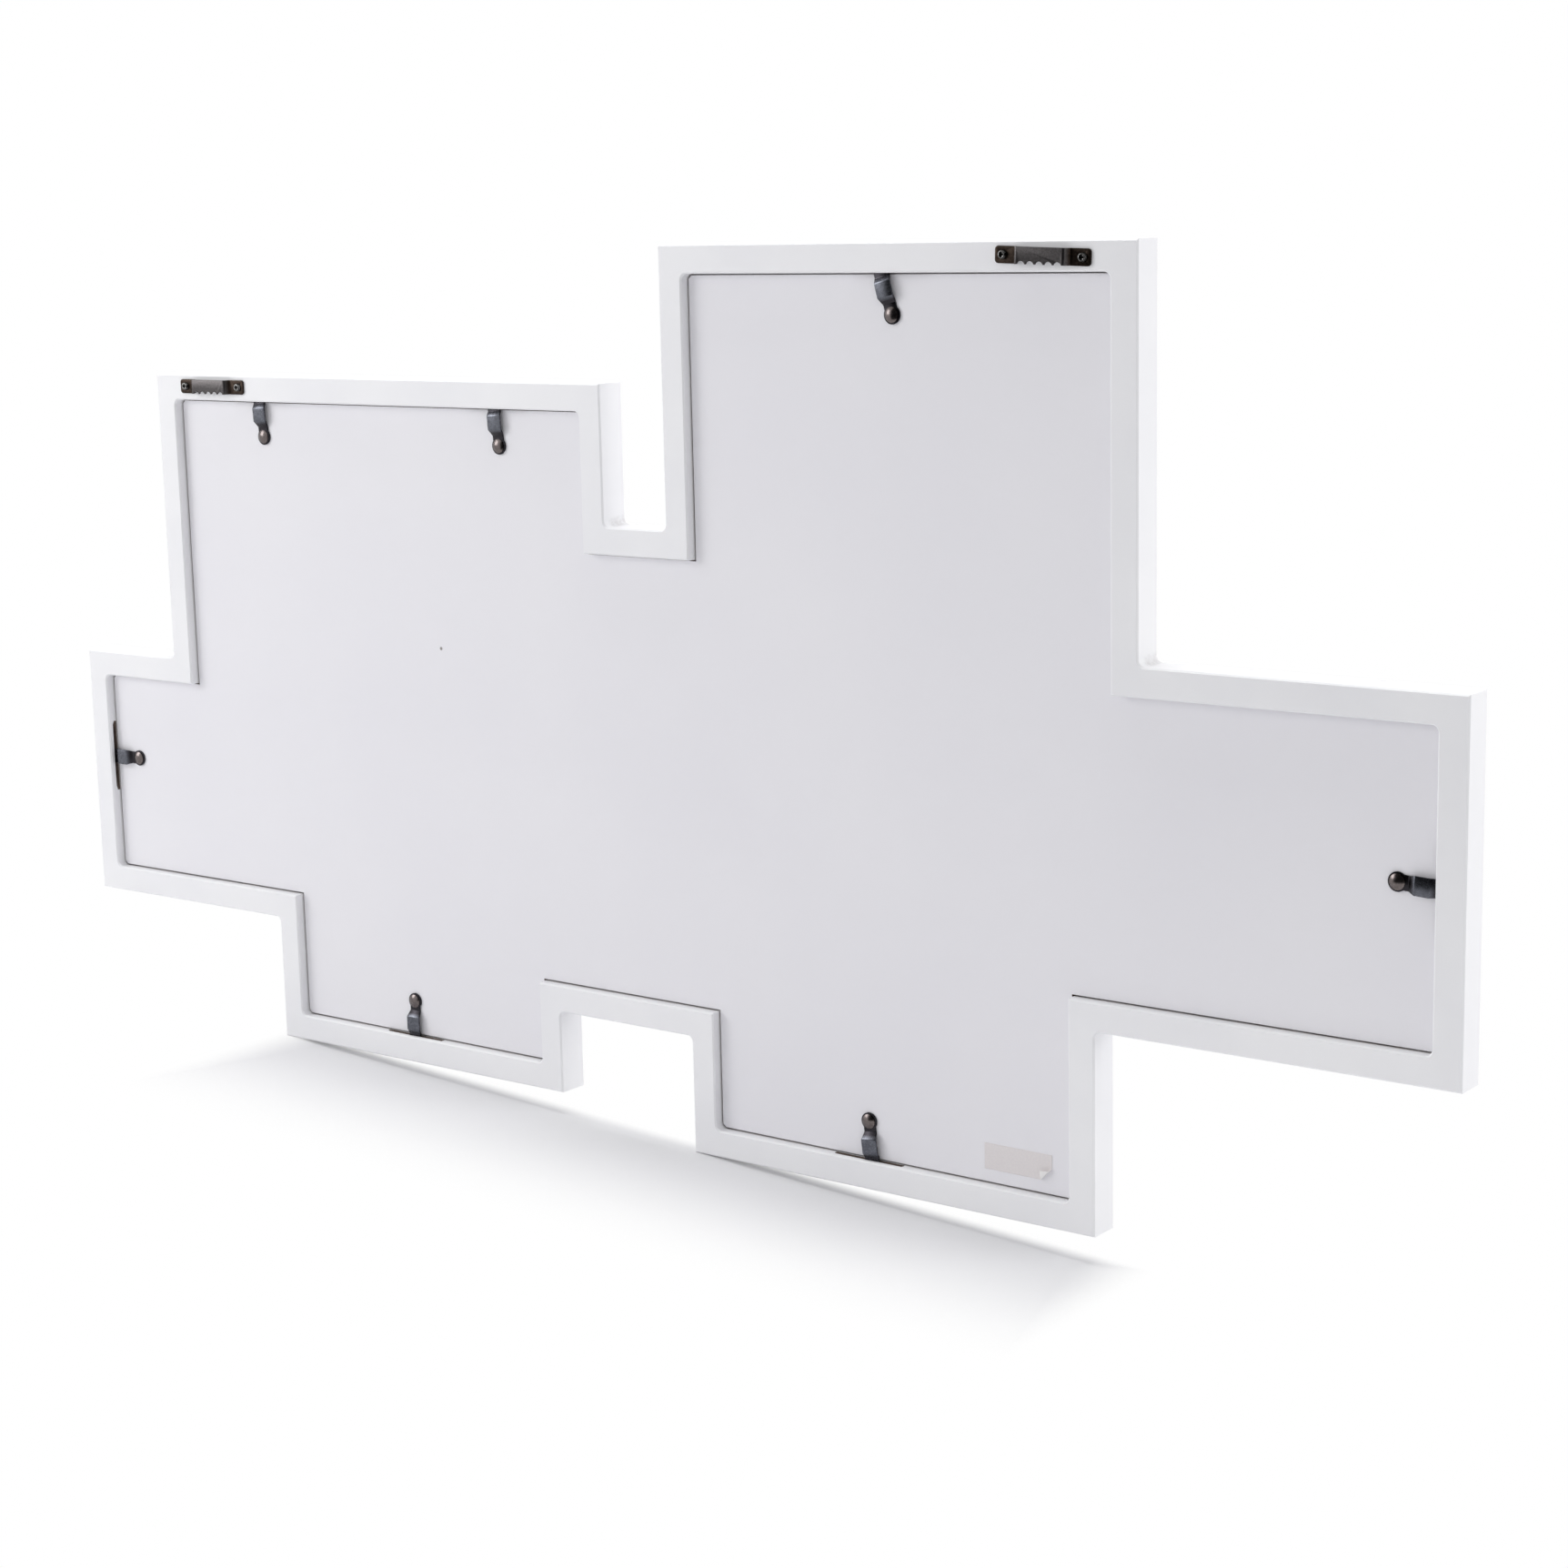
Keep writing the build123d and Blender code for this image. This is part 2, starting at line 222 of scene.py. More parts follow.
def near(tree, place, spot, radius, soft):
    """A mask that is one within a radius of a line along Y through a spot, and fades to nothing beyond it."""
    flat = add(tree, "ShaderNodeVectorMath", {0: place, 1: (1.0, 0.0, 1.0)}, operation="MULTIPLY")
    centre = (spot[0] * MM, 0.0, spot[1] * MM)
    far = add(tree, "ShaderNodeVectorMath", {0: flat.outputs["Vector"], 1: centre}, operation="DISTANCE")
    fade = add(tree, "ShaderNodeMapRange", {"Value": far.outputs["Value"], "From Min": radius * MM,
                                            "From Max": (radius + soft) * MM, "To Min": 1.0, "To Max": 0.0})
    return fade.outputs["Result"]


def between(tree, place, base, levels):
    """A mask that goes from nothing to one along Y between two levels, in millimetres from a base."""
    height = add(tree, "ShaderNodeSeparateXYZ", {"Vector": place}).outputs["Y"]
    rise = add(tree, "ShaderNodeMapRange", {"Value": height, "From Min": base + levels[0] * MM,
                                            "From Max": base + levels[1] * MM})
    return rise.outputs["Result"]


def clip_reaches():
    """Each clip's pivot on the back of the board, with the way its tongue points."""
    reaches = []
    for joint in joints:
        pivot = Vector(joint["pos_m"])
        low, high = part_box("turn_" + joint["child"])
        middle = (low + high) / 2 - pivot
        way = Vector((middle.x, 0, 0)) if abs(middle.x) > abs(middle.z) else Vector((0, 0, middle.z))
        reaches.append((pivot, way.normalized()))
    return reaches


def slot_mask(tree, place):
    """A mask that is one inside the slots of the clips' tongues."""
    mask = 0.0
    for pivot, way in clip_reaches():
        centre = (pivot + way * (SLOT_REACH - SLOT_RADIUS) * MM) / MM
        disc = near(tree, place, (centre.x, centre.z), SLOT_RADIUS, SLOT_BLUR)
        mask = add(tree, "ShaderNodeMath", {0: mask, 1: disc}, operation="MAXIMUM").outputs["Value"]
    depth = add(tree, "ShaderNodeSeparateXYZ", {"Vector": place}).outputs["Y"]
    level = BOARD_BACK + SLOT_MIDDLE * MM
    band = add(tree, "ShaderNodeMath", {0: depth, 1: level, 2: SLOT_HALF * MM}, operation="COMPARE")
    inside = add(tree, "ShaderNodeMath", {0: mask, 1: band.outputs["Value"]}, operation="MULTIPLY")
    return inside.outputs["Value"]


# Materials

def satin_lacquer():
    """Sprayed white lacquer on milled MDF: softly glossy, faint orange peel, raw brown board in the slots."""
    material, tree, shader = new_material("satin_lacquer")
    place = place_of(tree)
    peel = add(tree, "ShaderNodeTexNoise", {"Vector": place, "Scale": per_mm(ORANGE_PEEL), "Detail": 2.0})
    cloud = add(tree, "ShaderNodeTexNoise", {"Vector": place, "Scale": per_mm(LACQUER_CLOUD), "Detail": 3.0})
    crumbs = add(tree, "ShaderNodeTexNoise", {"Vector": place, "Scale": per_mm(FIBRE_CRUMB), "Detail": 4.0})
    tone = tones(tree, cloud, "#EBEBEE", "#EFEFF1", low=0.35, high=0.65)
    inward = between(tree, place, 0.0, DUST_AND_SHADE_LEVELS)
    crumbled = add(tree, "ShaderNodeMath", {0: crumbs.outputs["Fac"], 1: inward}, operation="MULTIPLY")
    # Dust and painted shade darken two inner corners of the outline
    for corner in DUST_AND_SHADE_CORNERS:
        reach = near(tree, place, corner, DUST_AND_SHADE_RADIUS, DUST_AND_SHADE_EDGE)
        patch = add(tree, "ShaderNodeMath", {0: reach, 1: crumbled.outputs["Value"]}, operation="MULTIPLY")
        dust_and_shade = add(tree, "ShaderNodeMapRange", {"Value": patch.outputs["Value"], "From Min": DUST_AND_SHADE_CRUMBS[0],
                                                "From Max": DUST_AND_SHADE_CRUMBS[1], "To Max": DUST_AND_SHADE_MOST})
        tone = add(tree, "ShaderNodeMix", {FACTOR: dust_and_shade.outputs["Result"], FIRST: tone,
                                           SECOND: linear("#8F8A88")}, data_type="RGBA").outputs[MIXED]
    slots = slot_mask(tree, place)
    cut = add(tree, "ShaderNodeMix", {FACTOR: slots, FIRST: tone,
                                      SECOND: tones(tree, crumbs, "#5C4F47", "#6E6058")}, data_type="RGBA")
    tree.links.new(cut.outputs[MIXED], shader.inputs["Base Color"])
    gloss = add(tree, "ShaderNodeMapRange", {"Value": cloud.outputs["Fac"], "To Min": 0.34, "To Max": 0.42})
    rough = add(tree, "ShaderNodeMath", {0: gloss.outputs["Result"], 1: slots}, operation="MAXIMUM")
    tree.links.new(rough.outputs["Value"], shader.inputs["Roughness"])
    relief(tree, shader, peel, strength=0.12, depth=0.05)
    shader.inputs["IOR"].default_value = 1.5
    return material


def faced_board():
    """Hardboard with a smooth off-white facing: faint pulp texture, one dark fleck, bare brown edges."""
    material, tree, shader = new_material("faced_board")
    place = place_of(tree)
    pulp = add(tree, "ShaderNodeTexNoise", {"Vector": place, "Scale": per_mm(BOARD_PULP), "Detail": 4.0})
    cloud = add(tree, "ShaderNodeTexNoise", {"Vector": place, "Scale": per_mm(BOARD_CLOUD), "Detail": 2.0})
    facing = tones(tree, cloud, "#E6E5EA", "#E9E8EC")
    fleck = near(tree, place, BOARD_FLECK, FLECK_RADIUS, FLECK_EDGE)
    flecked = add(tree, "ShaderNodeMix", {FACTOR: fleck, FIRST: facing, SECOND: linear("#8C8784")},
                  data_type="RGBA")
    normal = add(tree, "ShaderNodeSeparateXYZ", {"Vector": add(tree, "ShaderNodeTexCoord").outputs["Normal"]})
    level = add(tree, "ShaderNodeMath", {0: normal.outputs["Y"]}, operation="ABSOLUTE")
    faced = add(tree, "ShaderNodeMath", {0: level.outputs["Value"], 1: FACED}, operation="GREATER_THAN")
    tone = add(tree, "ShaderNodeMix", {FACTOR: faced.outputs["Value"],
                                       FIRST: tones(tree, pulp, "#5E4A38", "#7A644E"),
                                       SECOND: flecked.outputs[MIXED]}, data_type="RGBA")
    tree.links.new(tone.outputs[MIXED], shader.inputs["Base Color"])
    relief(tree, shader, pulp, strength=0.2, depth=0.05)
    shader.inputs["Roughness"].default_value = 0.55
    shader.inputs["IOR"].default_value = 1.5
    return material


def rolled_steel(name, grain, smooth, dull):
    """Rolled steel whose mottling varies its gloss; returns the material's parts and the mottling."""
    material, tree, shader = new_material(name)
    mottle = add(tree, "ShaderNodeTexNoise", {"Vector": place_of(tree), "Scale": per_mm(grain), "Detail": 5.0,
                                              "Roughness": 0.6})
    gloss = add(tree, "ShaderNodeMapRange", {"Value": mottle.outputs["Fac"], "To Min": smooth,
                                             "To Max": dull})
    tree.links.new(gloss.outputs["Result"], shader.inputs["Roughness"])
    relief(tree, shader, mottle, strength=0.15, depth=0.03)
    shader.inputs["Metallic"].default_value = 1.0
    return material, tree, shader, mottle


def plated_steel(name, dark, light, grain, smooth, dull, crown=None):
    """Steel with a thin dark plating, lighter in its grain; below a raised crown it is painted near black as
    shade.
    """
    material, tree, shader, mottle = rolled_steel(name, grain, smooth, dull)
    tone = tones(tree, mottle, dark, light, low=0.35)
    if crown:
        raised = between(tree, place_of(tree), BOARD_BACK, crown)
        # Painted shade: below the crown heights the steel is near black
        tone = add(tree, "ShaderNodeMix", {FACTOR: raised, FIRST: linear("#333135"), SECOND: tone},
                   data_type="RGBA").outputs[MIXED]
    tree.links.new(tone, shader.inputs["Base Color"])
    return material


def bronzed_steel():
    """Dark bronzed sheet steel, with a greyer painted sheen where the raised middle stands proud."""
    material, tree, shader, mottle = rolled_steel("bronzed_steel", grain=0.9, smooth=0.34, dull=0.46)
    bronze = tones(tree, mottle, "#2B2420", "#40362F", low=0.35)
    painted_sheen = tones(tree, mottle, "#4A4747", "#5E5B5C", low=0.35)
    # Painted sheen: the raised middle of a hanger is greyer
    sheen_mask = between(tree, place_of(tree), RIM_BACK, HANGER_SHEEN_CROWN)
    tone = add(tree, "ShaderNodeMix", {FACTOR: sheen_mask, FIRST: bronze, SECOND: painted_sheen}, data_type="RGBA")
    tree.links.new(tone.outputs[MIXED], shader.inputs["Base Color"])
    return material


def float_glass():
    """Clear float glass with the faint green of its iron; it lets the light through to the prints behind."""
    material, tree, shader = new_material("float_glass")
    wave = add(tree, "ShaderNodeTexNoise", {"Vector": place_of(tree), "Scale": per_mm(GLASS_WAVE)})
    relief(tree, shader, wave, strength=0.05, depth=0.1)
    shader.inputs["Base Color"].default_value = linear("#F4FBF8")
    shader.inputs["Roughness"].default_value = 0.0
    shader.inputs["IOR"].default_value = 1.52
    shader.inputs["Transmission Weight"].default_value = 1.0
    path = add(tree, "ShaderNodeLightPath")
    clear = add(tree, "ShaderNodeBsdfTransparent").outputs["BSDF"]
    pane = shader.outputs["BSDF"]
    for ray in ("Is Diffuse Ray", "Is Shadow Ray"):
        mix = add(tree, "ShaderNodeMixShader", {"Fac": path.outputs[ray], 1: pane, 2: clear})
        pane = mix.outputs["Shader"]
    tree.links.new(pane, tree.nodes["Material Output"].inputs["Surface"])
    return material


def paper(name, dark, light, grain, roughness):
    """Paper: a fine pulp grain in its tone and a slight tooth."""
    material, tree, shader = new_material(name)
    pulp = add(tree, "ShaderNodeTexNoise", {"Vector": place_of(tree), "Scale": per_mm(grain), "Detail": 5.0})
    tree.links.new(tones(tree, pulp, dark, light), shader.inputs["Base Color"])
    relief(tree, shader, pulp, strength=0.15, depth=0.03)
    shader.inputs["Roughness"].default_value = roughness
    return material


# Meshes

def merged_solid(node):
    """A copy of a node's solid with its flat faces whole."""
    shape = bmesh.new()
    shape.from_mesh(nodes[node].data)
    bmesh.ops.remove_doubles(shape, verts=shape.verts, dist=MERGE)
    bmesh.ops.dissolve_limit(shape, angle_limit=FLAT_ANGLE, verts=shape.verts, edges=shape.edges)
    return shape


def sharp_edges(shape):
    """The edges where a solid turns a corner."""
    return [edge for edge in shape.edges if edge.is_manifold and edge.calc_face_angle() > SHARP_ANGLE]


def soften(shape, edges, width, steps):
    """Rounds the given edges, or chamfers them with a single step."""
    bmesh.ops.bevel(shape, geom=edges, offset=width * MM, offset_type="OFFSET", affect="EDGES",
                    segments=steps, profile=0.5, clamp_overlap=True, material=-1)


def plain_mesh(shape, name, materials):
    """Turns a bmesh into a mesh with its materials."""
    mesh = bpy.data.meshes.new(name)
    shape.to_mesh(mesh)
    shape.free()
    for material in materials:
        mesh.materials.append(material)
    return mesh


def smooth_mesh(shape, name, materials):
    """Turns a bmesh into a mesh that is smooth but for its sharp edges."""
    mesh = plain_mesh(shape, name, materials)
    mesh.shade_smooth()
    mesh.set_sharp_from_angle(angle=SHARP_ANGLE)
    return mesh


def show(name, mesh, body, replaced):
    """Puts a finished mesh in the scene, riding on its body in place of a CAD node."""
    piece = bpy.data.objects.new(name, mesh)
    bpy.context.scene.collection.objects.link(piece)
    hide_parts(replaced)
    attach(piece, body)
    return piece


# Pieces

def dress(names, material):
    """Gives CAD nodes their finish."""
    for name in names:
        mesh = nodes[name].data
        mesh.materials.clear()
        mesh.materials.append(material)


def round_ends(shape, node):
    """Rounds the four upright corners at a hanger's two ends."""
    low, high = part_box(node)
    middle = (low.x + high.x) / 2
    ends = []
    for edge in sharp_edges(shape):
        first, second = (vert.co for vert in edge.verts)
        upright = abs((second - first).normalized().y) > ALONG_Y
        if upright and min(abs(first.x - middle), abs(second.x - middle)) > HANGER_END * MM:
            ends.append(edge)
    soften(shape, ends, HANGER_CORNER, CORNER_STEPS)


def clip(joint, steel):
    """A turn clip of bent strip, its cut edges eased as tumbling leaves them."""
    node = "turn_" + joint["child"]
    shape = merged_solid(node)
    soften(shape, sharp_edges(shape), STRIP_EDGE, EDGE_STEPS)
    name = f"{node}_eased"
    show(name, smooth_mesh(shape, name, [steel]), joint["child"], node)


def hanger(node, steel):
    """A sawtooth hanger with round end corners and eased edges."""
    shape = merged_solid(node)
    round_ends(shape, node)
    soften(shape, sharp_edges(shape), STRIP_EDGE, EDGE_STEPS)
    name = f"{node}_eased"
    show(name, smooth_mesh(shape, name, [steel]), "frame_body", node)


def board(material):
    """The backing board, its sawn arrises broken so that the brown core shows along them."""
    shape = merged_solid("backing_board")
    soften(shape, sharp_edges(shape), BOARD_EDGE, 1)
    mesh = plain_mesh(shape, "backing_board_sawn", [material])
    mesh.shade_flat()
    show("backing_board_sawn", mesh, "frame_body", "backing_board")


def screws(steel, recess_shade):
    """The pan-head screws, with eased rims and painted shade in their cross recesses."""
    shape = merged_solid("hanger_screws")
    soften(shape, sharp_edges(shape), SCREW_EDGE, EDGE_STEPS)
    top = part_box("hanger_screws")[1].y
    # Faces inside the cross recesses take the second material, a near-black painted shade
    for face in shape.faces:
        depth = (top - face.calc_center_median().y) / MM
        wall = depth < SCREW_HEAD - RECESS_RIM and abs(face.normal.y) < RECESS_STEEP
        bottom = depth < SCREW_HEAD and face.normal.y > RECESS_LEVEL
        if depth > RECESS_RIM and (wall or bottom):
            face.material_index = 1
    mesh = smooth_mesh(shape, "hanger_screws_eased", [steel, recess_shade])
    show("hanger_screws_eased", mesh, "frame_body", "hanger_screws")


def rivet_profile():
    """Half a rivet as (radius, height above the board): shank, flat underside, short rim and a low dome."""
    low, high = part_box("clip_rivets")
    foot, top = low.y - BOARD_BACK, high.y - BOARD_BACK
    shank, head, seat = RIVET_SHANK / 2 * MM, RIVET_HEAD / 2 * MM, RIVET_SEAT * MM
    rise = top - seat - RIVET_RIM * MM
    sphere = (head ** 2 + rise ** 2) / (2 * rise)
    swing = math.asin(head / sphere)
    profile = [(0, foot), (shank, foot), (shank, seat), (head, seat)]
    for step in range(RIVET_DOME_STEPS + 1):
        angle = swing * (1 - step / RIVET_DOME_STEPS)
        profile.append((sphere * math.sin(angle), top - sphere * (1 - math.cos(angle))))
    return profile


def rivets(material):
    """The domed rivets: one spun about its axis, and a copy of it at each pivot."""
    shape = bmesh.new()
    points = [shape.verts.new((radius, height, 0)) for radius, height in rivet_profile()]
    line = [shape.edges.new(pair) for pair in zip(points, points[1:])]
    bmesh.ops.spin(shape, geom=points + line, cent=(0, 0, 0), axis=(0, 1, 0), angle=math.tau,
                   steps=RIVET_STEPS, use_merge=True)
    bmesh.ops.remove_doubles(shape, verts=shape.verts, dist=MERGE)
    bmesh.ops.recalc_face_normals(shape, faces=shape.faces)
    first = list(shape.verts) + list(shape.edges) + list(shape.faces)
    pivots = [pivot for pivot, _ in clip_reaches()]
    for pivot in pivots[1:]:
        copied = bmesh.ops.duplicate(shape, geom=first)["geom"]
        bmesh.ops.translate(shape, vec=pivot, verts=[g for g in copied if isinstance(g, bmesh.types.BMVert)])
    bmesh.ops.translate(shape, vec=pivots[0], verts=[g for g in first if isinstance(g, bmesh.types.BMVert)])
    mesh = smooth_mesh(shape, "clip_rivets_domed", [material])
    show("clip_rivets_domed", mesh, "frame_body", "clip_rivets")


def curl(shape, corner, outward):
    """Rolls what lies past a line near a corner back over itself, off the board."""
    radius = CURL_RADIUS * MM
    for vert in shape.verts:
        past = CURL_REACH * MM + (vert.co - corner).dot(outward)
        if past <= 0:
            continue
        angle = min(past / radius, CURL_TURN)
        rest = past - angle * radius
        along = radius * math.sin(angle) + rest * math.cos(angle)
        lift = radius * (1 - math.cos(angle)) + rest * math.sin(angle)
        vert.co += outward * (along - past) + Vector((0, lift, 0))


def label(face, underside):
    """The bare label, one corner lifted off the board and curled back on itself."""
    low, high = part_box("label")
    width, height = high.x - low.x, high.z - low.z
    shape = bmesh.new()
    bmesh.ops.create_grid(shape, x_segments=round(width / (LABEL_CELL * MM)),
                          y_segments=round(height / (LABEL_CELL * MM)), size=0.5)
    bmesh.ops.scale(shape, vec=(width, height, 1), verts=shape.verts)
    bmesh.ops.rotate(shape, cent=(0, 0, 0), matrix=Matrix.Rotation(-math.pi / 2, 3, "X"), verts=shape.verts)
    middle = (low + high) / 2
    bmesh.ops.translate(shape, vec=(middle.x, high.y, middle.z), verts=shape.verts)
    curl(shape, corner=Vector((low.x, high.y, low.z)), outward=Vector((-1, 0, -1)).normalized())
    shape.normal_update()
    if max(shape.faces, key=lambda cell: cell.calc_center_median().x).normal.y < 0:
        bmesh.ops.reverse_faces(shape, faces=shape.faces)
    mesh = smooth_mesh(shape, "label_curled", [face, underside])
    piece = show("label_curled", mesh, "frame_body", "label")
    wall = piece.modifiers.new("thickness", "SOLIDIFY")
    wall.thickness = LABEL_THICKNESS * MM
    wall.offset = -1
    wall.material_offset = 1


def print_sheet(node, margin_paper, tinted_paper):
    """A plain photo insert with an unprinted margin, in place of its CAD sheet."""
    low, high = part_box(node)
    shape = bmesh.new()
    bmesh.ops.create_cube(shape, size=1)
    bmesh.ops.scale(shape, vec=high - low, verts=shape.verts)
    bmesh.ops.translate(shape, vec=(low + high) / 2, verts=shape.verts)
    front = [face for face in shape.faces if face.normal.y < TO_FRONT]
    bmesh.ops.inset_region(shape, faces=front, thickness=PRINT_MARGIN * MM)
    for face in front:
        face.material_index = 1
    mesh = plain_mesh(shape, node, [margin_paper, tinted_paper])
    show(f"{node}_sheet", mesh, "frame_body", node)


def frame_and_board():
    """The lacquered frame, the board, and the panes and cards between them."""
    dress(["frame"], satin_lacquer())
    board(faced_board())
    dress([node for node in nodes if node.startswith("pane_")], float_glass())
    dress([node for node in nodes if node.startswith("card_")],
          paper("grey_card", "#7E7A73", "#98948C", grain=0.8, roughness=0.85))


def hardware():
    """The clips on their rivets, and the hangers with their screws."""
    clip_steel = plated_steel("black_nickel_steel", "#585A61", "#6A6C74", grain=1.2, smooth=0.22, dull=0.32,
                              crown=CLIP_SHADE_CROWN)
    for joint in joints:
        clip(joint, clip_steel)
    hanger_steel = bronzed_steel()
    for side in ("left", "right"):
        hanger(f"sawtooth_hanger_{side}", hanger_steel)
    # The screws' cross recesses are painted near black as shade
    screws(plated_steel("screw_steel", "#666564", "#7E7D7C", grain=0.8, smooth=0.22, dull=0.32),
           plated_steel("recess_shade", "#141312", "#1E1D1C", grain=0.8, smooth=0.6, dull=0.7))
    rivets(plated_steel("rivet_steel", "#625B5A", "#766E6D", grain=1.0, smooth=0.2, dull=0.3))


def papers():
    """The label on the board, and a print in one of three tints behind each pane."""
    label(paper("label_paper", "#DCD7D8", "#E1DCDC", grain=0.6, roughness=0.8),
          paper("label_underside", "#F0EFEE", "#F5F4F3", grain=0.6, roughness=0.7))
    margin = paper("photo_paper_margin", "#EDECE8", "#F1F0EC", grain=1.0, roughness=0.38)
    tints = [paper("photo_paper_sand", "#C9BFAF", "#CFC6B7", grain=1.0, roughness=0.36),
             paper("photo_paper_slate", "#A9B0B6", "#B0B7BC", grain=1.0, roughness=0.36),
             paper("photo_paper_sage", "#B3BAA8", "#BAC1B0", grain=1.0, roughness=0.36)]
    for index, node in enumerate(sorted(node for node in nodes if node.startswith("print_"))):
        print_sheet(node, margin, tints[index % len(tints)])


# Studio

def seen_white(tree):
    """One for rays from the camera, from gloss and through glass, which see the studio as plain white."""
    path = add(tree, "ShaderNodeLightPath")
    seen = path.outputs["Is Camera Ray"]
    for ray in ("Is Glossy Ray", "Is Transmission Ray"):
        either = add(tree, "ShaderNodeMath", {0: seen, 1: path.outputs[ray]}, operation="MAXIMUM")
        seen = either.outputs["Value"]
    return seen


def shade_fade(tree):
    """Nothing where the floor keeps its shade, and one past its sides, behind it and in front of it."""
    spot = add(tree, "ShaderNodeSeparateXYZ", {"Vector": place_of(tree)})
    aside = add(tree, "ShaderNodeMath", {0: spot.outputs["X"], 1: SHADE_MIDDLE}, operation="SUBTRACT")
    aside = add(tree, "ShaderNodeMath", {0: aside.outputs["Value"]}, operation="ABSOLUTE")
    behind = add(tree, "ShaderNodeMath", {0: spot.outputs["Y"], 1: -1.0}, operation="MULTIPLY")
    bounds = [(aside.outputs["Value"], SHADE_SIDES), (behind.outputs["Value"], SHADE_BEHIND),
              (spot.outputs["Y"], SHADE_FRONT)]
    fade = 0.0
    for distance, (start, end) in bounds:
        part = add(tree, "ShaderNodeMapRange", {"Value": distance, "From Min": start, "From Max": end},
                   interpolation_type="SMOOTHSTEP").outputs["Result"]
        fade = add(tree, "ShaderNodeMath", {0: part, 1: fade}, operation="MAXIMUM").outputs["Value"]
    return fade


def floor_white():
    """A matt pale floor, seen with its shade round the blocks and as plain white further out."""
    material, tree, shader = new_material("floor_white")
    tree.nodes.remove(shader)
    matt = add(tree, "ShaderNodeBsdfDiffuse", {"Color": linear("#E6E6E8")})
    close = add(tree, "ShaderNodeBsdfDiffuse", {"Color": linear("#E4E4E6")})
    white = add(tree, "ShaderNodeEmission", {"Color": linear("#FFFFFF"), "Strength": 1.0})
    seen = add(tree, "ShaderNodeMixShader", {"Fac": shade_fade(tree), 1: close.outputs["BSDF"],
                                             2: white.outputs["Emission"]})
    mix = add(tree, "ShaderNodeMixShader", {"Fac": seen_white(tree), 1: matt.outputs["BSDF"],
                                            2: seen.outputs["Shader"]})
    tree.links.new(mix.outputs["Shader"], tree.nodes["Material Output"].inputs["Surface"])
    return material


def floor():
    """The floor, laid under the two corners that the frame stands on."""
    shape = bmesh.new()
    bmesh.ops.create_grid(shape, x_segments=1, y_segments=1, size=FLOOR_REACH)
    ground = bpy.data.objects.new("floor", plain_mesh(shape, "floor", [floor_white()]))
    slope = (SECOND_FOOT[1] - FIRST_FOOT[1]) / (SECOND_FOOT[0] - FIRST_FOOT[0])
    ground.location = (0, 0, FIRST_FOOT[1] - slope * FIRST_FOOT[0])
    ground.rotation_euler = (0, -math.atan(slope), 0)
    bpy.context.scene.collection.objects.link(ground)


def surroundings():
    """Even white surroundings that light the object a little less than they look."""
    world = bpy.data.worlds.new("studio")
    bpy.context.scene.world = world
    world.use_nodes = True
    tree = world.node_tree
    tree.nodes.clear()
    soft = add(tree, "ShaderNodeBackground", {"Color": linear("#FFFFFF"), "Strength": STUDIO_LIGHT})
    white = add(tree, "ShaderNodeBackground", {"Color": linear("#FFFFFF"), "Strength": 1.0})
    mix = add(tree, "ShaderNodeMixShader", {"Fac": seen_white(tree), 1: soft.outputs["Background"],
                                            2: white.outputs["Background"]})
    add(tree, "ShaderNodeOutputWorld", {"Surface": mix.outputs["Shader"]})


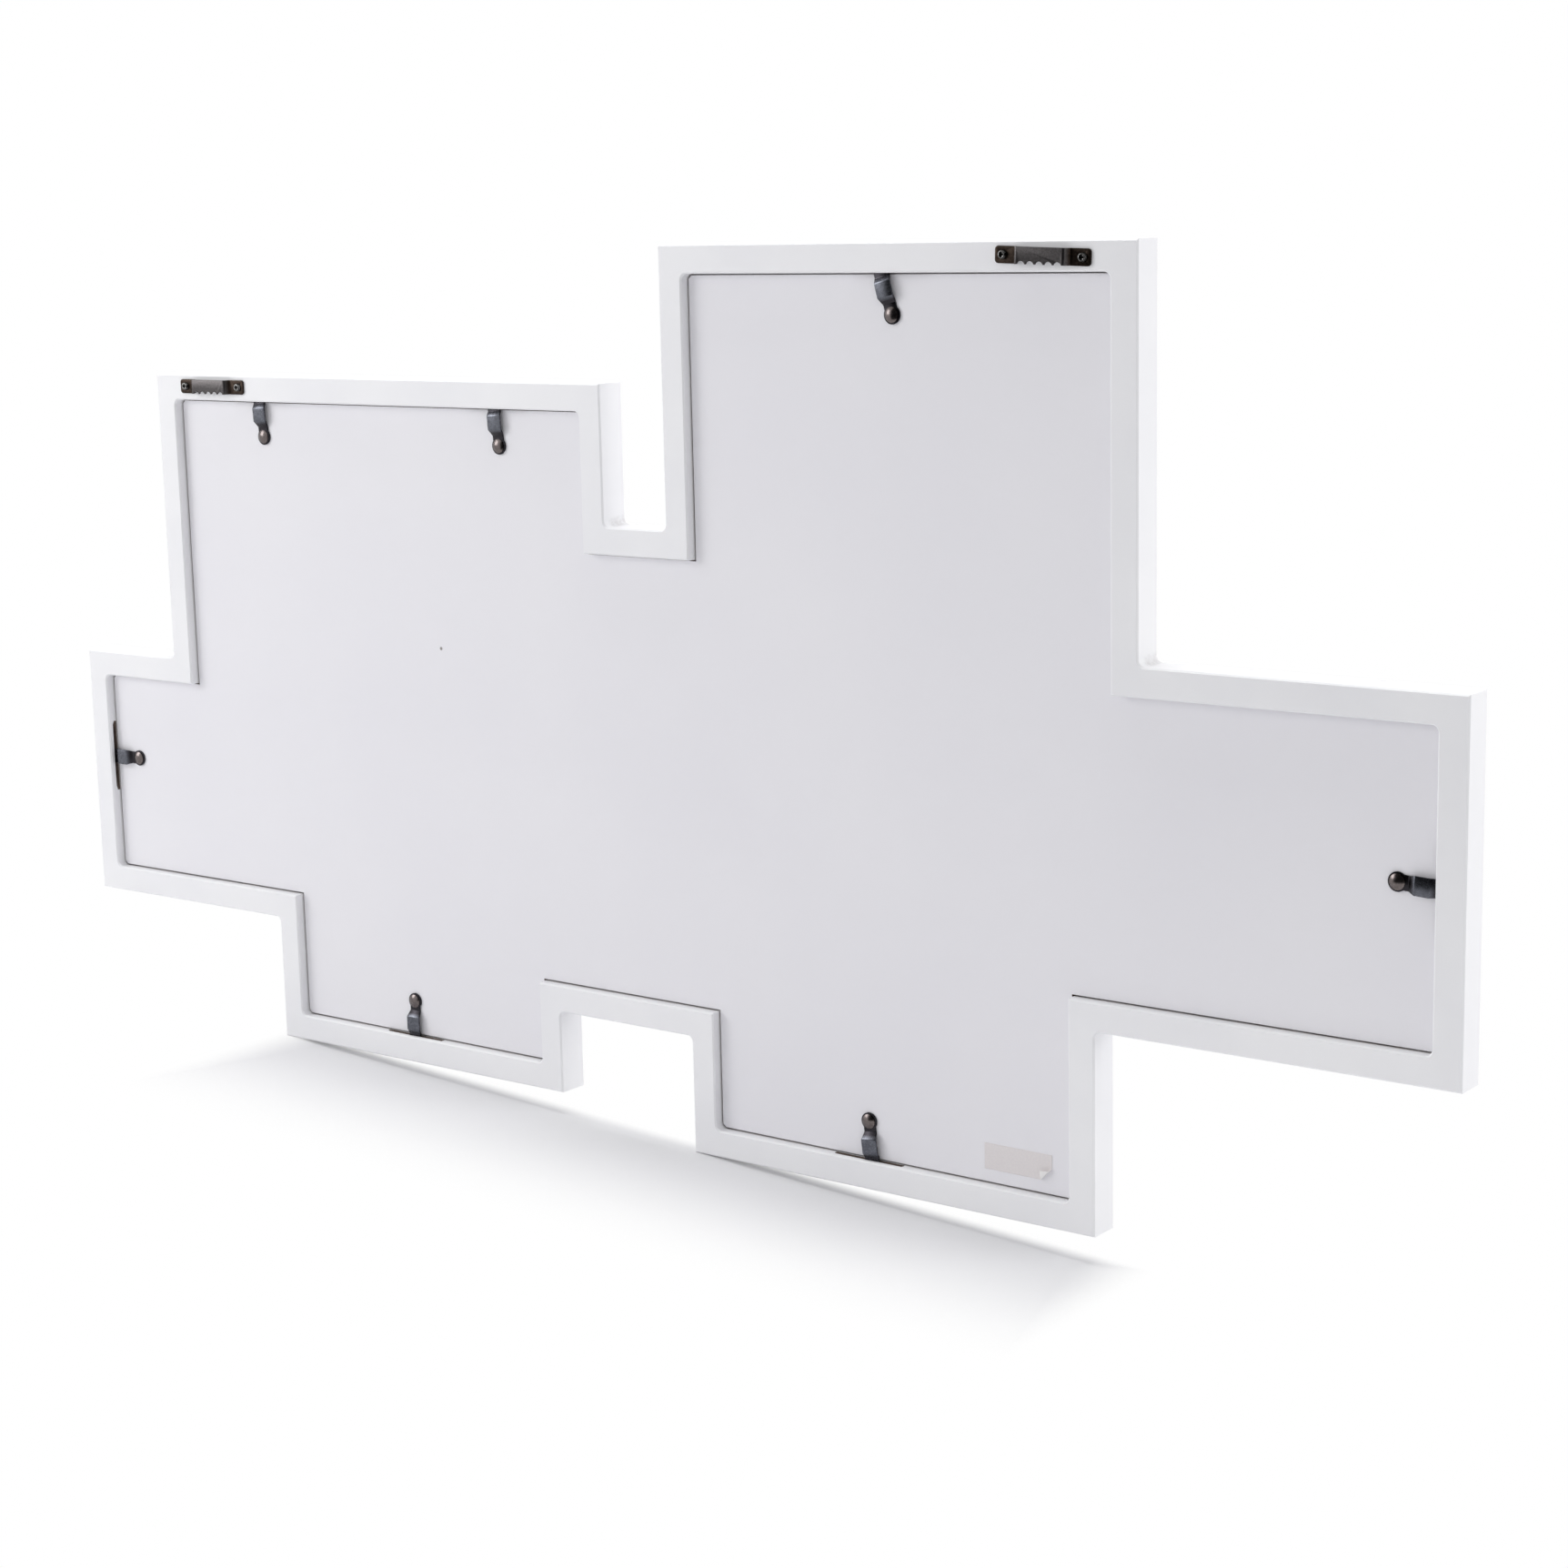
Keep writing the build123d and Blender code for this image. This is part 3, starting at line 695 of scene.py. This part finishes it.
def dark_card(name, place, width, height, tilt):
    """A part of the unlit room round the camera, which only the hardware's gloss shows."""
    shape = bmesh.new()
    bmesh.ops.create_grid(shape, x_segments=1, y_segments=1, size=0.5)
    bmesh.ops.scale(shape, vec=(width, height, 1), verts=shape.verts)
    turn = Matrix.Rotation(math.radians(tilt), 3, "X")
    bmesh.ops.rotate(shape, cent=(0, 0, 0), matrix=turn, verts=shape.verts)
    bmesh.ops.translate(shape, vec=place, verts=shape.verts)
    material, _, shader = new_material(name)
    shader.inputs["Base Color"].default_value = linear("#1A1A1C")
    shader.inputs["Roughness"].default_value = 1.0
    card = bpy.data.objects.new(name, plain_mesh(shape, name, [material]))
    card.visible_camera = False
    card.visible_diffuse = False
    card.visible_transmission = False
    card.visible_shadow = False
    bpy.context.scene.collection.objects.link(card)


def softbox(name, place, target, width, height, power, mirrored=True):
    """A rectangular soft light aimed at a point; the hardware's gloss shows it if it is mirrored."""
    lamp = bpy.data.lights.new(name, "AREA")
    lamp.shape = "RECTANGLE"
    lamp.size = width
    lamp.size_y = height
    lamp.energy = power
    light = bpy.data.objects.new(name, lamp)
    light.location = place
    light.rotation_euler = (Vector(target) - Vector(place)).to_track_quat("-Z", "Y").to_euler()
    light.visible_camera = False
    light.visible_glossy = mirrored
    bpy.context.scene.collection.objects.link(light)


def studio():
    """The floor, the white and dark surroundings, and three soft lights; places and sizes are in metres."""
    floor()
    surroundings()
    dark_card("dark_room", place=(-0.5, 0.5, 0.6), width=1.3, height=1.2, tilt=90)
    dark_card("dark_ceiling", place=(0.8, -0.05, 1.35), width=1.1, height=0.5, tilt=0)
    softbox("overhead", place=(0.1, -0.2, 1.7), target=(0.1, 0, 0), width=1.5, height=0.9, power=18,
            mirrored=False)
    softbox("left_fill", place=(1.35, 1.0, 0.8), target=(0.1, 0, 0.2), width=0.8, height=0.8, power=10)
    softbox("right_back", place=(-1.6, -0.7, 0.5), target=(-0.1, 0, 0.2), width=1.0, height=1.0, power=9)


def camera():
    """The photograph's viewpoint, solved from the straight edges of the object."""
    data = bpy.data.cameras.new("camera")
    data.sensor_width = SENSOR
    data.sensor_height = SENSOR
    data.sensor_fit = "HORIZONTAL"
    data.lens = LENS
    data.clip_start = NEAREST
    view = bpy.data.objects.new("camera", data)
    view.location = CAMERA_PLACE
    view.rotation_euler = Euler([math.radians(angle) for angle in CAMERA_TURN], "XYZ")
    bpy.context.scene.collection.objects.link(view)
    bpy.context.scene.camera = view


frame_and_board()
hardware()
papers()
studio()
camera()
bpy.context.scene.view_settings.view_transform = "Standard"
